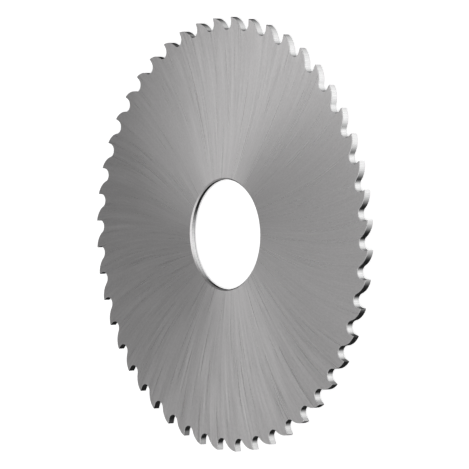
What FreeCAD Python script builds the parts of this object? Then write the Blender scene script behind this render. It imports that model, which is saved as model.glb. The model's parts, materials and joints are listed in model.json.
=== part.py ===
"""A slitting saw: a thin round metal-cutting saw that is clamped on an arbor.

It is one piece of hardened tool steel. The blank is turned and bored, its two sides are ground hollow so
that the saw is thickest at its cutting edges, and the gullets between the teeth are ground through the rim.
Millimetres and degrees. The saw's axis is Z, its underside lies on Z = 0 and one cutting edge is on +X.
Seen from above, the teeth face anticlockwise. Upside down, the same saw cuts the other way round.
"""

import FreeCAD, Part
import math
import os

import Sketcher

# The driving sizes: name, value, what it measures
SIZES = [
    ("outside_diameter", 63.0, "circle through the cutting edges"),
    ("bore_diameter", 16.0, "hole for the arbor"),
    ("bore_chamfer", 0.2, "45 degree edge break at each end of the bore"),
    ("hub_diameter", 32.0, "flat land that the arbor's collars clamp"),
    ("rim_thickness", 1.0, "width of the cutting edges"),
    ("hollow_depth", 0.05, "how far each flat land lies in from the sides of the cutting edges"),
    ("tooth_count", 48, "number of teeth"),
    ("tooth_depth", 1.84, "cutting edge down to the bottom of the gullet"),
    ("gullet_radius", 1.0, "round bottom of the gullet"),
    ("rake_angle", 10.0, "lean of the tooth's face, which undercuts the edge"),
    ("relief_angle", 6.0, "fall of the tooth's back behind the land"),
    ("tip_land", 0.05, "land on the outside circle behind the cutting edge"),
]

# How a sketch numbers the points of a line or an arc, its own origin and its horizontal axis
START, END, CENTRE = 1, 2, 3
ORIGIN = (-1, 1)
X_AXIS = -1


def make_sheet(doc):
    """A spreadsheet with one row for each driving size."""
    sheet = doc.addObject("Spreadsheet::Sheet", "sizes")
    for row, (name, value, meaning) in enumerate(SIZES, start=1):
        sheet.set(f"A{row}", name)
        sheet.set(f"B{row}", str(value))
        sheet.set(f"C{row}", meaning)
        sheet.setAlias(f"B{row}", name)
    doc.recompute()
    return sheet


def new_sketch(body, name, plane_role):
    """An empty sketch on one of the body's own origin planes."""
    sketch = body.newObject("Sketcher::SketchObject", name)
    plane = next(feature for feature in body.Origin.OriginFeatures if feature.Role == plane_role)
    sketch.AttachmentSupport = [(plane, "")]
    sketch.MapMode = "FlatFace"
    return sketch


def constrain(sketch, kind, *references):
    """Adds a geometric constraint, such as Coincident or Tangent."""
    sketch.addConstraint(Sketcher.Constraint(kind, *references))


def dimension(sketch, name, kind, references, value, formula):
    """Adds a named dimension that a formula ties to the sheet; value is what the formula gives at first."""
    index = sketch.addConstraint(Sketcher.Constraint(kind, *references, value))
    sketch.renameConstraint(index, name)
    sketch.setExpression(f"Constraints.{name}", formula)


def draw_section(body, sheet):
    """Half of the blank's section, the same above and below the saw's middle plane."""
    sketch = new_sketch(body, "blank_section", "XZ_Plane")
    bore = sheet.bore_diameter / 2
    chamfer = sheet.bore_chamfer
    hub = sheet.hub_diameter / 2
    rim = sheet.outside_diameter / 2
    rim_half = sheet.rim_thickness / 2
    hub_half = rim_half - sheet.hollow_depth

    upper = [(bore, hub_half - chamfer), (bore + chamfer, hub_half), (hub, hub_half), (rim, rim_half)]
    lower = [(x, -z) for x, z in reversed(upper)]
    corners = [FreeCAD.Vector(x, z, 0) for x, z in upper + lower]
    lines = [
        sketch.addGeometry(Part.LineSegment(a, b), False)
        for a, b in zip(corners, corners[1:] + corners[:1])
    ]
    top_break, top_land, top_flank, rim_wall, low_flank, low_land, low_break = lines[:-1]
    for line, following in zip(lines, lines[1:] + lines[:1]):
        constrain(sketch, "Coincident", line, END, following, START)
    for top, low in ((top_break, low_break), (top_land, low_land), (top_flank, low_flank)):
        constrain(sketch, "Symmetric", top, START, low, END, X_AXIS)
    constrain(sketch, "Symmetric", rim_wall, START, rim_wall, END, X_AXIS)
    constrain(sketch, "Horizontal", top_land)

    wall_top, land_in, land_out, rim_top = [(line, START) for line in lines[:4]]
    dimension(sketch, "bore_radius", "DistanceX", (*ORIGIN, *wall_top),
              bore, "sizes.bore_diameter / 2")
    dimension(sketch, "break_width", "DistanceX", (*wall_top, *land_in),
              chamfer, "sizes.bore_chamfer")
    dimension(sketch, "break_height", "DistanceY", (*wall_top, *land_in),
              chamfer, "sizes.bore_chamfer")
    dimension(sketch, "hub_radius", "DistanceX", (*ORIGIN, *land_out),
              hub, "sizes.hub_diameter / 2")
    dimension(sketch, "hub_half_thickness", "DistanceY", (*ORIGIN, *land_out),
              hub_half, "sizes.rim_thickness / 2 - sizes.hollow_depth")
    dimension(sketch, "rim_radius", "DistanceX", (*ORIGIN, *rim_top),
              rim, "sizes.outside_diameter / 2")
    dimension(sketch, "rim_half_thickness", "DistanceY", (*ORIGIN, *rim_top),
              rim_half, "sizes.rim_thickness / 2")
    return sketch


def at_angle(radius, angle):
    """The point at that radius and angle from the saw's axis."""
    return FreeCAD.Vector(radius * math.cos(angle), radius * math.sin(angle), 0)


def gullet_points(sheet):
    """The gullet's corners and centres, worked out so that the sketch starts where it should settle."""
    tip = sheet.outside_diameter / 2
    rake = math.radians(sheet.rake_angle)
    radius = sheet.gullet_radius
    land_start = math.radians(360 / sheet.tooth_count) - sheet.tip_land / tip

    # the gullet's centre lies one radius off the face, at the depth's own distance from the axis
    edge = at_angle(tip, 0)
    down_face = at_angle(1, math.pi + rake)
    off_face = at_angle(1, math.pi / 2 + rake)
    beside = edge + off_face * radius
    reach = tip - sheet.tooth_depth + radius
    along = beside.dot(down_face)
    face_end = edge + down_face * (-along - math.sqrt(along**2 - beside.dot(beside) + reach**2))
    gullet_centre = face_end + off_face * radius

    # the back's arc touches the gullet's arc from outside: their centres are both radii apart
    back_end = at_angle(tip, land_start)
    inward = at_angle(1, math.pi + land_start - math.radians(sheet.relief_angle))
    apart = back_end - gullet_centre
    back_radius = (radius**2 - apart.dot(apart)) / (2 * (apart.dot(inward) - radius))
    back_centre = back_end + inward * back_radius
    meeting = gullet_centre + (back_centre - gullet_centre).normalize() * radius

    # the outline closes one tooth depth outside the rim
    clear = sheet.tooth_depth
    return {
        "land_start": land_start,
        "edge": edge,
        "face_end": face_end,
        "gullet_centre": gullet_centre,
        "meeting": meeting,
        "back_centre": back_centre,
        "back_end": back_end,
        "outer_back": at_angle(tip + clear, land_start),
        "outer_face": edge - down_face * clear,
    }


def arc(centre, first, last):
    """The arc from first to last, anticlockwise about centre."""
    start, end = (math.atan2(p.y - centre.y, p.x - centre.x) for p in (first, last))
    circle = Part.Circle(centre, FreeCAD.Vector(0, 0, 1), (first - centre).Length)
    return Part.ArcOfCircle(circle, start, end if end > start else end + 2 * math.pi)


def draw_gullet(body, sheet):
    """One gullet: the face of a tooth, the round bottom and the curved back of the next tooth."""
    sketch = new_sketch(body, "gullet_outline", "XY_Plane")
    at = gullet_points(sheet)
    tip = sheet.outside_diameter / 2

    face = sketch.addGeometry(Part.LineSegment(at["face_end"], at["outer_face"]), False)
    bottom = sketch.addGeometry(arc(at["gullet_centre"], at["meeting"], at["face_end"]), False)
    back = sketch.addGeometry(arc(at["back_centre"], at["meeting"], at["back_end"]), False)
    way_out = sketch.addGeometry(Part.LineSegment(at["back_end"], at["outer_back"]), False)
    outer = sketch.addGeometry(Part.LineSegment(at["outer_back"], at["outer_face"]), False)
    edge = sketch.addGeometry(Part.Point(at["edge"]), True)
    spoke = sketch.addGeometry(Part.LineSegment(FreeCAD.Vector(), at["back_end"]), True)
    back_normal = sketch.addGeometry(Part.LineSegment(at["back_end"], at["back_centre"]), True)

    constrain(sketch, "Tangent", bottom, END, face, START)
    constrain(sketch, "Tangent", bottom, START, back, START)
    constrain(sketch, "Coincident", back, END, way_out, START)
    constrain(sketch, "Coincident", way_out, END, outer, START)
    constrain(sketch, "Coincident", outer, END, face, END)
    constrain(sketch, "Coincident", spoke, START, *ORIGIN)
    constrain(sketch, "Coincident", spoke, END, back, END)
    constrain(sketch, "Coincident", back_normal, START, back, END)
    constrain(sketch, "Coincident", back_normal, END, back, CENTRE)
    constrain(sketch, "PointOnObject", edge, START, X_AXIS)
    constrain(sketch, "PointOnObject", edge, START, face)
    constrain(sketch, "PointOnObject", way_out, END, spoke)

    dimension(sketch, "edge_radius", "DistanceX", (*ORIGIN, edge, START),
              tip, "sizes.outside_diameter / 2")
    dimension(sketch, "face_lean", "Angle", (face,),
              math.radians(sheet.rake_angle), "sizes.rake_angle")
    dimension(sketch, "bottom_radius", "Radius", (bottom,),
              sheet.gullet_radius, "sizes.gullet_radius")
    dimension(sketch, "bottom_reach", "Distance", (*ORIGIN, bottom, CENTRE),
              tip - sheet.tooth_depth + sheet.gullet_radius,
              "sizes.outside_diameter / 2 - sizes.tooth_depth + sizes.gullet_radius")
    dimension(sketch, "spoke_length", "Distance", (spoke,),
              tip, "sizes.outside_diameter / 2")
    dimension(sketch, "spoke_angle", "Angle", (spoke,),
              at["land_start"],
              "360 / sizes.tooth_count - sizes.tip_land / (sizes.outside_diameter / 2) * 180 / pi")
    dimension(sketch, "back_relief", "Angle", (back_normal, START, spoke, END),
              math.radians(sheet.relief_angle), "sizes.relief_angle")
    dimension(sketch, "way_out_length", "Distance", (way_out,),
              sheet.tooth_depth, "sizes.tooth_depth")
    dimension(sketch, "face_overrun", "Distance", (edge, START, face, END),
              sheet.tooth_depth, "sizes.tooth_depth")
    return sketch


def make_saw(doc, sheet):
    """The saw as it is made: blank first, then one gullet, then that gullet all round the rim."""
    body = doc.addObject("PartDesign::Body", "saw_blade")
    body.Label = "saw_blade"
    section = draw_section(body, sheet)
    doc.recompute()

    blank = body.newObject("PartDesign::Revolution", "blank")
    blank.Profile = section
    blank.ReferenceAxis = (section, ["V_Axis"])
    blank.Angle = 360
    doc.recompute()

    outline = draw_gullet(body, sheet)
    doc.recompute()
    gullet = body.newObject("PartDesign::Pocket", "gullet")
    gullet.Profile = outline
    gullet.Type = "ThroughAll"
    gullet.Midplane = True
    doc.recompute()

    teeth = body.newObject("PartDesign::PolarPattern", "teeth")
    teeth.Originals = [gullet]
    teeth.Axis = (outline, ["N_Axis"])
    teeth.Angle = 360
    teeth.setExpression("Occurrences", "sizes.tooth_count")
    body.Tip = teeth

    # the sketches lie on the saw's middle plane, and the saw lies on its underside
    body.setExpression("Placement.Base.z", "sizes.rim_thickness / 2")
    doc.recompute()
    return body, blank, gullet, teeth


def check(doc, sheet, body, blank, gullet, teeth):
    """Stops if any object failed, or if a gullet took away nothing."""
    for item in doc.Objects:
        if {"Invalid", "Error"} & set(item.State):
            raise RuntimeError(f"{item.Name} failed: {item.State}")
    for item in (blank, gullet, teeth, body):
        if item.Shape.isNull() or not item.Shape.isValid() or len(item.Shape.Solids) != 1:
            raise RuntimeError(f"{item.Name} is not one valid solid")
    one_gullet = blank.Shape.Volume - gullet.Shape.Volume
    all_gullets = blank.Shape.Volume - teeth.Shape.Volume
    if one_gullet <= 0 or not math.isclose(all_gullets, one_gullet * sheet.tooth_count, rel_tol=1e-3):
        raise RuntimeError(f"gullets took away {one_gullet} and {all_gullets} cubic mm")
    box = body.Shape.BoundBox
    print(f"one gullet {one_gullet:.3f} cubic mm, saw {body.Shape.Volume:.1f} cubic mm")
    print(f"box {box.XLength:.3f} x {box.YLength:.3f} x {box.ZLength:.3f} mm, from Z = {box.ZMin:.3f}")


def main():
    doc = FreeCAD.newDocument("slitting_saw")
    sheet = make_sheet(doc)
    body, blank, gullet, teeth = make_saw(doc, sheet)
    check(doc, sheet, body, blank, gullet, teeth)
    os.makedirs("parts", exist_ok=True)
    body.Shape.exportStep(f"parts/{body.Label}.step")


main()
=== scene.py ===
"""Slitting saw: a one-piece saw of ground steel, lying on a pale studio floor and seen from above.

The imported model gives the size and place. One pitch of the rim is drawn here finely, from one tooth's back
to the next, with the side of the saw below it down to the bore. A node tree then repeats it round the axis.
Metres in the scene; the drawing of one pitch is in millimetres, like the saw's drawing.
"""

import json
import math

import bpy
from mathutils import Matrix, Vector


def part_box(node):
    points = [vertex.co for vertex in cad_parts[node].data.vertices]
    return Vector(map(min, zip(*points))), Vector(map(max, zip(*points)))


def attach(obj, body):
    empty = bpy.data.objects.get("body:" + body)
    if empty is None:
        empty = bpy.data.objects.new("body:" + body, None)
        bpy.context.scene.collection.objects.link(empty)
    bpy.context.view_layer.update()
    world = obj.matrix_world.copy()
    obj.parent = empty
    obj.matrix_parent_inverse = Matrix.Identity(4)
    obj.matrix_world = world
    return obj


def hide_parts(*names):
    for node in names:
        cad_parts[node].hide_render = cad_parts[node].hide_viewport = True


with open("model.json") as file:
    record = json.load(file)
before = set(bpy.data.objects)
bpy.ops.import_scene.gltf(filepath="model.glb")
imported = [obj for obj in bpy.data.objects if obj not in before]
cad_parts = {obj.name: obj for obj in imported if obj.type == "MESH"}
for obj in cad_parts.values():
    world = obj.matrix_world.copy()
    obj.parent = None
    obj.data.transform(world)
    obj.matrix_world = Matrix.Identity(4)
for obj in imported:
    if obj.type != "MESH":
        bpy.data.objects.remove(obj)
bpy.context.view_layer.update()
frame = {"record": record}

MM = 0.001

# Sizes of the saw, in millimetres; its diameter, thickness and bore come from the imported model
LOW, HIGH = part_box("saw_blade")
TIP_RADIUS = (HIGH.x - LOW.x) / 2 / MM
RIM_THICKNESS = (HIGH.z - LOW.z) / MM
BORE_RADIUS = next(m for m in frame["record"]["mounts"] if m["name"] == "arbor_bore")["dims"]["r_mm"]
BORE_CHAMFER = 0.2
HUB_RADIUS = 16.0
HOLLOW_DEPTH = 0.05
TOOTH_COUNT = 48
TOOTH_DEPTH = 1.84
GULLET_RADIUS = 1.0
RAKE = math.radians(10)
RELIEF = math.radians(6)
TIP_LAND = 0.05
EDGE_ROLL = 0.04
PITCH = 2 * math.pi / TOOTH_COUNT

# How finely one pitch is drawn: steps along each stretch of the rim, rows on the side as shares of the way to
# its first ring, steps and margin of the rolled edge, and how close two pitches join; lengths in millimetres
FACE_STEPS = 3
GULLET_STEPS = 14
BACK_STEPS = 10
SIDE_ROWS = (0.3, 0.65)
ROLL_STEPS = 2
ROLL_MARGIN = 0.02
JOIN_WITHIN = 0.002

# From what angle between two faces the shading breaks
SHARP_FROM = math.radians(40)

# Where the side's even rings lie, from the gullets in to the bore
INNER_RINGS = (28.6, 24.5, 20.0, HUB_RADIUS, 12.0)

# Angles at which the side's lines leave the first ring for the cutting edge and the foot of the face
EDGE_LINE = math.radians(-1.45)
FACE_FOOT_LINE = math.radians(-1.12)

# The streaks of the side grinding: angle from straight outwards, per radius, and where it passes zero
STREAK_BEND = 0.48
STREAK_STRAIGHT_AT = 0.6

# Each kind of streak: how many fit in a radian, how fast they change outwards, their detail and their seed;
# then how much finer steps add, between which values most of a streak's grey lies, and how far the streaks
# shift for each metre of height, so that the two sides differ
RIDGES = (40, 2, 1.5, 0.0)
LINES = (60, 1.8, 1.0, 5.2)
HAIRS = (150, 4, 2.0, 7.3)
GRAIN = (150, 80, 2.0, 2.6)
CLOUD = (7, 3, 2.0, 3.1)
FINER_STEPS = 0.6
GREY_RANGE = (0.3, 0.7)
SIDE_SHIFT = 4000

# How the streaks are mixed: lines into hairs, then grain into both for the colour, and cloud into both for
# the gleam
LINES_SHARE, GRAIN_SHARE, CLOUD_SHARE = 0.55, 0.5, 0.15

# The ground sides: brightness, roughness, tint, ridges with their depth in metres, and how far and which
# way the gleam is stretched
SIDE_TONE = (0.49, 0.63)
SIDE_ROUGHNESS = (0.24, 0.385)
SIDE_RED, SIDE_BLUE = 1.018, 1.003
SIDE_BUMP, RIDGE_DEPTH = 0.15, 0.0001
SIDE_STRETCH, STRETCH_TURN = 0.8, 0.25

# The edges and the bore: how often the lines change in a metre along each axis and their detail, brightness,
# roughness, and the lines' depth in metres
EDGE_LINES, EDGE_DETAIL = (9000, 9000, 500), 2.0
EDGE_TONE = (0.6, 0.72)
EDGE_ROUGHNESS = (0.16, 0.26)
EDGE_BUMP, EDGE_LINE_DEPTH = 0.15, 0.00002


# The rim's outline

def at(radius, angle):
    return Vector((radius * math.cos(angle), radius * math.sin(angle)))


def angle_of(point):
    return math.atan2(point.y, point.x)


def crossing(centre, radius, outer):
    """Where a circle about centre meets the circle of radius outer about the axis, nearest to one pitch."""
    reach = centre.length
    along = (reach**2 + outer**2 - radius**2) / (2 * reach)
    across = math.sqrt(outer**2 - along**2)
    unit = centre.normalized()
    side = Vector((unit.y, -unit.x))
    points = [unit * along + side * across, unit * along - side * across]
    return min(points, key=lambda p: abs(angle_of(p) - PITCH))


class Gullet:
    """The lines and arcs of one gullet, from the cutting edge at angle 0 to the next at one pitch."""

    def __init__(self):
        edge = at(TIP_RADIUS, 0)
        self.down = at(1, math.pi + RAKE)
        self.off = at(1, math.pi / 2 + RAKE)
        beside = edge + self.off * GULLET_RADIUS
        reach = TIP_RADIUS - TOOTH_DEPTH + GULLET_RADIUS
        along = beside.dot(self.down)
        run = -along - math.sqrt(along**2 - beside.length_squared + reach**2)
        self.edge = edge
        self.centre = beside + self.down * run

        land_start = PITCH - TIP_LAND / TIP_RADIUS
        inward = at(1, math.pi + land_start - RELIEF)
        apart = at(TIP_RADIUS, land_start) - self.centre
        gap = apart.dot(inward) - GULLET_RADIUS
        self.back_radius = (GULLET_RADIUS**2 - apart.length_squared) / (2 * gap)
        self.back_centre = at(TIP_RADIUS, land_start) + inward * self.back_radius

    def arc(self, centre, radius, start, end, steps):
        return [centre + at(radius, start + (end - start) * i / steps) for i in range(steps + 1)]

    def outline(self, inset):
        """Points from the middle of one tooth's back to the middle of the next, inset into the steel."""
        outer = TIP_RADIUS - inset
        start = self.edge - self.off * inset
        along = start.dot(self.down)
        edge = start + self.down * (-along - math.sqrt(along**2 - start.length_squared + outer**2))
        foot = self.centre - self.off * (GULLET_RADIUS + inset)
        face = [edge.lerp(foot, i / FACE_STEPS) for i in range(FACE_STEPS)]

        to_back = angle_of(self.back_centre - self.centre)
        bottom = self.arc(self.centre, GULLET_RADIUS + inset, RAKE - math.pi / 2, to_back - 2 * math.pi,
                          GULLET_STEPS)
        back_radius = self.back_radius - inset
        back_end = angle_of(crossing(self.back_centre, back_radius, outer) - self.back_centre)
        back = self.arc(self.back_centre, back_radius, to_back - math.pi, back_end, BACK_STEPS)
        half = BACK_STEPS // 2
        turn_back = Matrix.Rotation(-PITCH, 2)
        previous = [turn_back @ p for p in back[half:]]
        points = previous + face + bottom + back[1:half + 1]
        marks = {"edge": len(previous), "foot": len(previous) + FACE_STEPS,
                 "lowest": len(previous) + FACE_STEPS + GULLET_STEPS // 2}
        return points, marks


def side_height(radius):
    """Half the saw's thickness at that radius: flat hub land, then the hollow-ground flank."""
    fall = HOLLOW_DEPTH * (TIP_RADIUS - max(radius, HUB_RADIUS)) / (TIP_RADIUS - HUB_RADIUS)
    return RIM_THICKNESS / 2 - fall


def line_angles(points, marks):
    """The angle at which the line through each outline point crosses the even rings."""
    first, last = angle_of(points[0]), angle_of(points[-1])
    knots = [(0, first), (marks["edge"], EDGE_LINE), (marks["foot"], FACE_FOOT_LINE),
             (marks["lowest"], angle_of(points[marks["lowest"]])), (len(points) - 1, last)]
    angles = []
    for (i0, a0), (i1, a1) in zip(knots, knots[1:]):
        angles += [a0 + (a1 - a0) * (i - i0) / (i1 - i0) for i in range(i0, i1)]
    return angles + [last]


def pitch_rows():
    """Rows of points across one pitch, from the rim's wall over the upper side to the bore's wall.

    Each row is a list of (x, y, z) with z measured from the saw's middle plane.
    """
    gullet = Gullet()
    wall, marks = gullet.outline(0)
    inset, _ = gullet.outline(EDGE_ROLL + ROLL_MARGIN)
    angles = line_angles(inset, marks)

    def on_side(points):
        return [(p.x, p.y, side_height(p.length)) for p in points]

    rows = [[(p.x, p.y, side_height(p.length) - EDGE_ROLL - ROLL_MARGIN) for p in wall]]
    for step in range(ROLL_STEPS + 1):
        turn = math.pi / 2 * step / ROLL_STEPS
        rolled, _ = gullet.outline(EDGE_ROLL * (1 - math.cos(turn)))
        sunk = EDGE_ROLL * (1 - math.sin(turn))
        rows.append([(p.x, p.y, side_height(p.length) - sunk) for p in rolled])
    rows.append(on_side(inset))
    first_ring = [at(INNER_RINGS[0], a) for a in angles]
    for share in SIDE_ROWS:
        rows.append(on_side([p.lerp(q, share) for p, q in zip(inset, first_ring)]))
    for radius in INNER_RINGS + (BORE_RADIUS + BORE_CHAMFER,):
        rows.append(on_side([at(radius, a) for a in angles]))
    top = side_height(0)
    rows.append([(p.x, p.y, top - BORE_CHAMFER) for p in (at(BORE_RADIUS, a) for a in angles)])
    return rows


def make_pitch():
    """One pitch of the saw as a mesh: both sides, the rim's wall and the bore's wall."""
    upper = pitch_rows()
    lower = [[(x, y, -z) for x, y, z in row] for row in reversed(upper)]
    rows = upper + lower
    width = len(rows[0])
    middle = RIM_THICKNESS / 2
    verts = [(x * MM, y * MM, (z + middle) * MM) for row in rows for x, y, z in row]
    faces = []
    walls = []
    bore_wall = len(upper) - 1
    rim_wall = len(rows) - 1
    for i in range(len(rows)):
        j = (i + 1) % len(rows)
        for k in range(width - 1):
            faces.append((i * width + k, i * width + k + 1, j * width + k + 1, j * width + k))
            walls.append(i in (bore_wall, rim_wall) or min(i, rim_wall - 1 - i) <= ROLL_STEPS)
    mesh = bpy.data.meshes.new("one_pitch")
    mesh.from_pydata(verts, [], faces)
    is_wall = mesh.attributes.new("wall", "BOOLEAN", "FACE")
    is_wall.data.foreach_set("value", walls)
    mesh.update()
    return bpy.data.objects.new("one_pitch", mesh)


# Shader nodes

class Nodes:
    """Adds nodes to a tree, with their settings and inputs in one call."""

    def __init__(self, tree):
        self.tree = tree

    def add(self, kind, inputs=None, **settings):
        node = self.tree.nodes.new(kind)
        for name, value in settings.items():
            setattr(node, name, value)
        for name, value in (inputs or {}).items():
            socket = node.inputs[name]
            if isinstance(value, bpy.types.NodeSocket):
                self.tree.links.new(value, socket)
            else:
                socket.default_value = value
        return node

    def maths(self, operation, *values):
        return self.add("ShaderNodeMath", dict(enumerate(values)), operation=operation).outputs[0]


def new_material(name):
    material = bpy.data.materials.new(name)
    material.use_nodes = True
    material.node_tree.nodes.clear()
    return material, Nodes(material.node_tree)


def streak_coordinates(n):
    """A place on a cylinder that is the same all along one grinding streak, except for its height."""
    place = n.add("ShaderNodeTexCoord").outputs["Object"]
    parts = n.add("ShaderNodeSeparateXYZ", {0: place})
    flat = n.add("ShaderNodeCombineXYZ", {"X": parts.outputs["X"], "Y": parts.outputs["Y"]}).outputs[0]
    length = n.add("ShaderNodeVectorMath", {0: flat}, operation="LENGTH").outputs["Value"]
    share = n.maths("DIVIDE", length, TIP_RADIUS * MM)
    log = n.maths("LOGARITHM", share, math.e)
    drift = n.maths("SUBTRACT", share, n.maths("MULTIPLY", log, STREAK_STRAIGHT_AT))
    turn = n.maths("MULTIPLY", drift, -STREAK_BEND)
    unit = n.add("ShaderNodeVectorMath", {0: flat}, operation="NORMALIZE").outputs["Vector"]
    turned = n.add("ShaderNodeVectorRotate", {"Vector": unit, "Angle": turn}, rotation_type="Z_AXIS")
    return turned.outputs[0], share, parts.outputs["Z"]


def streaks(n, around, share, height, kind):
    """Grey streaks of one kind, different on the saw's two sides."""
    fineness, length, detail, seed = kind
    wide = n.add("ShaderNodeVectorMath", {0: around, "Scale": fineness}, operation="SCALE").outputs["Vector"]
    parts = n.add("ShaderNodeSeparateXYZ", {0: wide})
    side = n.maths("MULTIPLY", height, SIDE_SHIFT)
    outward = n.maths("ADD", n.maths("MULTIPLY_ADD", share, length, seed), side)
    spot = n.add("ShaderNodeCombineXYZ", {"X": parts.outputs["X"], "Y": parts.outputs["Y"], "Z": outward})
    noise = n.add("ShaderNodeTexNoise", {"Vector": spot.outputs[0], "Scale": 1.0, "Detail": detail,
                                         "Roughness": FINER_STEPS})
    return noise.outputs["Fac"]


def mixed(n, first, second, share):
    """Both values mixed, with that share of the second."""
    return n.maths("MULTIPLY_ADD", n.maths("SUBTRACT", second, first), share, first)


def spread(n, value, ends, wanted):
    """The value moved from one range to another."""
    return n.add("ShaderNodeMapRange", {"Value": value, "From Min": ends[0], "From Max": ends[1],
                                        "To Min": wanted[0], "To Max": wanted[1]}).outputs["Result"]


def ground_side_steel():
    """The sides: ground steel, with fine streaks that fan out from the bore in slight curves."""
    material, n = new_material("ground_steel_sides")
    around, share, height = streak_coordinates(n)
    ridges, lines, hairs, grain, cloud = (streaks(n, around, share, height, kind)
                                          for kind in (RIDGES, LINES, HAIRS, GRAIN, CLOUD))

    marks = mixed(n, hairs, lines, LINES_SHARE)
    mottle = mixed(n, marks, grain, GRAIN_SHARE)
    tone = spread(n, mottle, GREY_RANGE, SIDE_TONE)
    colour = n.add("ShaderNodeCombineColor", {"Red": n.maths("MULTIPLY", tone, SIDE_RED), "Green": tone,
                                              "Blue": n.maths("MULTIPLY", tone, SIDE_BLUE)})
    rough = spread(n, mixed(n, marks, cloud, CLOUD_SHARE), GREY_RANGE, SIDE_ROUGHNESS)
    bump = n.add("ShaderNodeBump", {"Height": ridges, "Strength": SIDE_BUMP, "Distance": RIDGE_DEPTH})
    tangent = n.add("ShaderNodeTangent", direction_type="UV_MAP", uv_map="streaks")
    shader = n.add("ShaderNodeBsdfPrincipled", {
        "Base Color": colour.outputs["Color"], "Metallic": 1.0, "Roughness": rough,
        "Anisotropic": SIDE_STRETCH, "Anisotropic Rotation": STRETCH_TURN,
        "Tangent": tangent.outputs["Tangent"], "Normal": bump.outputs["Normal"],
    })
    n.add("ShaderNodeOutputMaterial", {"Surface": shader.outputs[0]})
    return material


def ground_edge_steel():
    """The teeth, gullets and bore: steel ground across its thickness."""
    material, n = new_material("ground_steel_edges")
    place = n.add("ShaderNodeTexCoord").outputs["Object"]
    along = n.add("ShaderNodeMapping", {"Vector": place, "Scale": EDGE_LINES}).outputs[0]
    lines = n.add("ShaderNodeTexNoise", {"Vector": along, "Scale": 1.0,
                                         "Detail": EDGE_DETAIL}).outputs["Fac"]
    tone = spread(n, lines, GREY_RANGE, EDGE_TONE)
    colour = n.add("ShaderNodeCombineColor", {"Red": tone, "Green": tone, "Blue": tone})
    bump = n.add("ShaderNodeBump", {"Height": lines, "Strength": EDGE_BUMP, "Distance": EDGE_LINE_DEPTH})
    shader = n.add("ShaderNodeBsdfPrincipled", {
        "Base Color": colour.outputs["Color"], "Metallic": 1.0,
        "Roughness": spread(n, lines, (0, 1), EDGE_ROUGHNESS), "Normal": bump.outputs["Normal"],
    })
    n.add("ShaderNodeOutputMaterial", {"Surface": shader.outputs[0]})
    return material


# The node tree that repeats one pitch round the axis

def round_the_axis():
    """A tree that turns one pitch into a whole saw and gives its sides and its edges their steel."""
    tree = bpy.data.node_groups.new("saw_round_the_axis", "GeometryNodeTree")
    face = tree.interface
    face.new_socket("One pitch", in_out="INPUT", socket_type="NodeSocketGeometry")
    face.new_socket("Teeth", in_out="INPUT", socket_type="NodeSocketInt")
    face.new_socket("Join within", in_out="INPUT", socket_type="NodeSocketFloat")
    face.new_socket("Side steel", in_out="INPUT", socket_type="NodeSocketMaterial")
    face.new_socket("Edge steel", in_out="INPUT", socket_type="NodeSocketMaterial")
    face.new_socket("Saw", in_out="OUTPUT", socket_type="NodeSocketGeometry")
    n = Nodes(tree)
    given = n.add("NodeGroupInput").outputs
    points = n.add("GeometryNodePoints", {"Count": given["Teeth"]}).outputs[0]
    index = n.add("GeometryNodeInputIndex").outputs[0]
    turn = n.maths("DIVIDE", n.maths("MULTIPLY", index, 2 * math.pi), given["Teeth"])
    rotation = n.add("ShaderNodeCombineXYZ", {"Z": turn}).outputs[0]
    ring = n.add("GeometryNodeInstanceOnPoints", {"Points": points, "Instance": given["One pitch"],
                                                  "Rotation": rotation}).outputs[0]
    whole = n.add("GeometryNodeRealizeInstances", {0: ring}).outputs[0]
    joined = n.add("GeometryNodeMergeByDistance", {"Geometry": whole,
                                                   "Distance": given["Join within"]}).outputs[0]
    wall = n.add("GeometryNodeInputNamedAttribute", {"Name": "wall"},
                 data_type="BOOLEAN").outputs["Attribute"]
    sides = n.add("GeometryNodeSetMaterial", {"Geometry": joined,
                                              "Material": given["Side steel"]}).outputs[0]
    edges = n.add("GeometryNodeSetMaterial", {"Geometry": sides, "Selection": wall,
                                              "Material": given["Edge steel"]}).outputs[0]
    n.add("NodeGroupOutput", {"Saw": edges})
    return tree


def repeat(pitch, side_steel, edge_steel):
    """The whole saw as a plain mesh."""
    bpy.context.scene.collection.objects.link(pitch)
    tree = round_the_axis()
    modifier = pitch.modifiers.new("round_the_axis", "NODES")
    modifier.node_group = tree
    wanted = {"Teeth": TOOTH_COUNT, "Join within": JOIN_WITHIN * MM,
              "Side steel": side_steel, "Edge steel": edge_steel}
    for socket in tree.interface.items_tree:
        if socket.name in wanted:
            modifier[socket.identifier] = wanted[socket.name]
    evaluated = pitch.evaluated_get(bpy.context.evaluated_depsgraph_get())
    mesh = bpy.data.meshes.new_from_object(evaluated)
    pitch.modifiers.remove(modifier)
    bpy.data.objects.remove(pitch)
    mesh.name = "saw"
    mesh.shade_smooth()
    mesh.set_sharp_from_angle(angle=SHARP_FROM)
    saw = bpy.data.objects.new("saw", mesh)
    bpy.context.scene.collection.objects.link(saw)
    return saw


def lay_streaks(saw):
    """A map whose first direction runs along the grinding streaks, for the steel's stretched gleam."""
    mesh = saw.data
    layer = mesh.uv_layers.new(name="streaks")
    for face in mesh.polygons:
        middle = angle_of(face.center)
        for corner in face.loop_indices:
            place = mesh.vertices[mesh.loops[corner].vertex_index].co
            share = place.xy.length / (TIP_RADIUS * MM)
            apart = (angle_of(place) - middle + math.pi) % (2 * math.pi) - math.pi
            drift = STREAK_BEND * (share - STREAK_STRAIGHT_AT * math.log(share))
            layer.uv[corner].vector = (share, middle + apart - drift)


# Studio

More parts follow.
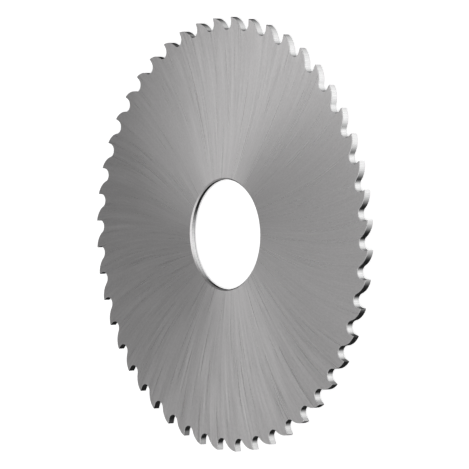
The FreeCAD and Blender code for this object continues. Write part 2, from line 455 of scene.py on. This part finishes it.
# Soft boxes: direction from the saw in degrees (azimuth, elevation), distance, width and height in metres,
# and brightness
SOFT_BOXES = {
    "overhead_box": ((217, 89), 3.0, 3.24, 3.24, 0.87),
    "side_panel": ((148.5, 41.7), 1.5, 2.4, 2.4, 0.27),
    "near_panel": ((56.8, 62.7), 0.286, 0.231, 0.231, 0.6),
    "front_strip": ((262, 55), 0.6, 1.4, 0.28, 1.2),
}
ROOM_LIGHT = 0.285

# The floor: half its side and how far below the saw it lies in metres, its colour, and what it adds for the
# camera
FLOOR_REACH = 3.0
FLOOR_DEPTH = 0.00001
FLOOR_COLOUR = (0.8, 0.8, 0.8, 1)
FLOOR_GLOW = 0.5

# The dark card below the floor, which only mirror rays see: half its side and how far down it lies in metres;
# then the long soft patch of light on it, which has faded out at PATCH_REACH times its length and width
CARD_REACH = 1.5
CARD_DEPTH = 0.064
PATCH_CENTRE = (0.0147, -0.119)
PATCH_LENGTH, PATCH_WIDTH = 0.136, 0.050
PATCH_TURN = math.radians(35)
PATCH_REACH = 2.5
PATCH_LIGHT, CARD_LIGHT = 1.45, 0.02

# The camera: its direction from the aim and its roll, where it aims in millimetres, its distance in metres,
# its lens and sensor in millimetres, and how near and how far it sees in metres
CAMERA_AZIMUTH = math.radians(-92.861)
CAMERA_ELEVATION = math.radians(38.661)
CAMERA_ROLL = math.radians(-91.243)
CAMERA_AIM = (-0.168, -2.384, RIM_THICKNESS)
CAMERA_DISTANCE = 0.4013
LENS, SENSOR_WIDTH = 213.34, 36
NEAREST, FARTHEST = 0.01, 20


def direction(azimuth, elevation):
    return Vector((math.cos(azimuth) * math.cos(elevation), math.sin(azimuth) * math.cos(elevation),
                   math.sin(elevation)))


def make_stage(name, half_side, height, material):
    """A level square under the saw that isn't part of it."""
    mesh = bpy.data.meshes.new(name)
    corners = [(-1, -1), (1, -1), (1, 1), (-1, 1)]
    mesh.from_pydata([(x * half_side, y * half_side, height) for x, y in corners], [], [(0, 1, 2, 3)])
    mesh.materials.append(material)
    square = bpy.data.objects.new(name, mesh)
    bpy.context.scene.collection.objects.link(square)
    return square


def make_floor():
    """A pale floor that keeps the saw's shadow and shows as white to the camera."""
    material, n = new_material("studio_floor")
    path = n.add("ShaderNodeLightPath").outputs
    seen = n.maths("MAXIMUM", path["Is Camera Ray"], path["Is Transmission Ray"])
    diffuse = n.add("ShaderNodeBsdfDiffuse", {"Color": FLOOR_COLOUR}).outputs[0]
    glow = n.add("ShaderNodeEmission", {"Strength": n.maths("MULTIPLY", seen, FLOOR_GLOW)}).outputs[0]
    both = n.add("ShaderNodeAddShader", {0: diffuse, 1: glow}).outputs[0]
    n.add("ShaderNodeOutputMaterial", {"Surface": both})
    floor = make_stage("floor", FLOOR_REACH, -FLOOR_DEPTH, material)
    floor.visible_glossy = False


def make_card():
    """The card that the teeth and the bore mirror, in place of the floor that touches them."""
    material, n = new_material("soft_patch_card")
    place = n.add("ShaderNodeTexCoord").outputs["Object"]
    patch = n.add("ShaderNodeMapping", {"Vector": place, "Location": (*PATCH_CENTRE, -CARD_DEPTH),
                                        "Rotation": (0, 0, PATCH_TURN),
                                        "Scale": (PATCH_LENGTH, PATCH_WIDTH, 1)},
                  vector_type="TEXTURE").outputs[0]
    away = n.add("ShaderNodeVectorMath", {0: patch}, operation="LENGTH").outputs["Value"]
    light = n.add("ShaderNodeMapRange", {"Value": away, "From Min": 0.0, "From Max": PATCH_REACH,
                                         "To Min": PATCH_LIGHT, "To Max": CARD_LIGHT},
                  interpolation_type="SMOOTHSTEP").outputs["Result"]
    glow = n.add("ShaderNodeEmission", {"Strength": light}).outputs[0]
    n.add("ShaderNodeOutputMaterial", {"Surface": glow})
    card = make_stage("soft_patch_card", CARD_REACH, -CARD_DEPTH, material)
    card.visible_camera = False
    card.visible_diffuse = False
    card.visible_shadow = False


def make_world():
    """White to the camera; to the saw, a plain dim room."""
    world = bpy.data.worlds.new("studio")
    world.use_nodes = True
    world.node_tree.nodes.clear()
    n = Nodes(world.node_tree)
    seen = n.add("ShaderNodeLightPath").outputs["Is Camera Ray"]
    light = n.add("ShaderNodeMix", {"Factor": seen, "A": ROOM_LIGHT, "B": 1.0},
                  data_type="FLOAT").outputs["Result"]
    background = n.add("ShaderNodeBackground", {"Strength": light}).outputs[0]
    n.add("ShaderNodeOutputWorld", {"Surface": background})
    bpy.context.scene.world = world


def make_soft_boxes():
    for name, ((azimuth, elevation), distance, width, height, brightness) in SOFT_BOXES.items():
        lamp = bpy.data.lights.new(name, "AREA")
        lamp.shape = "RECTANGLE"
        lamp.size, lamp.size_y = width, height
        lamp.energy = brightness * math.pi * width * height
        away = direction(math.radians(azimuth), math.radians(elevation))
        box = bpy.data.objects.new(name, lamp)
        box.location = away * distance
        box.rotation_euler = away.to_track_quat("Z", "Y").to_euler()
        box.visible_camera = False
        bpy.context.scene.collection.objects.link(box)


def make_camera():
    """The photograph's view: above the saw, and turned on its side, so that the saw seems to stand."""
    back = direction(CAMERA_AZIMUTH, CAMERA_ELEVATION)
    camera = bpy.data.cameras.new("camera")
    camera.sensor_width = SENSOR_WIDTH
    camera.lens = LENS
    camera.clip_start, camera.clip_end = NEAREST, FARTHEST
    holder = bpy.data.objects.new("camera", camera)
    holder.matrix_world = (Matrix.Translation(Vector(CAMERA_AIM) * MM + back * CAMERA_DISTANCE)
                           @ back.to_track_quat("Z", "Y").to_matrix().to_4x4()
                           @ Matrix.Rotation(CAMERA_ROLL, 4, "Z"))
    bpy.context.scene.collection.objects.link(holder)
    bpy.context.scene.camera = holder


def main():
    saw = repeat(make_pitch(), ground_side_steel(), ground_edge_steel())
    lay_streaks(saw)
    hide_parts("saw_blade")
    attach(saw, "root")

    make_camera()
    make_floor()
    make_card()
    make_world()
    make_soft_boxes()

    scene = bpy.context.scene
    scene.view_settings.view_transform = "Standard"


main()
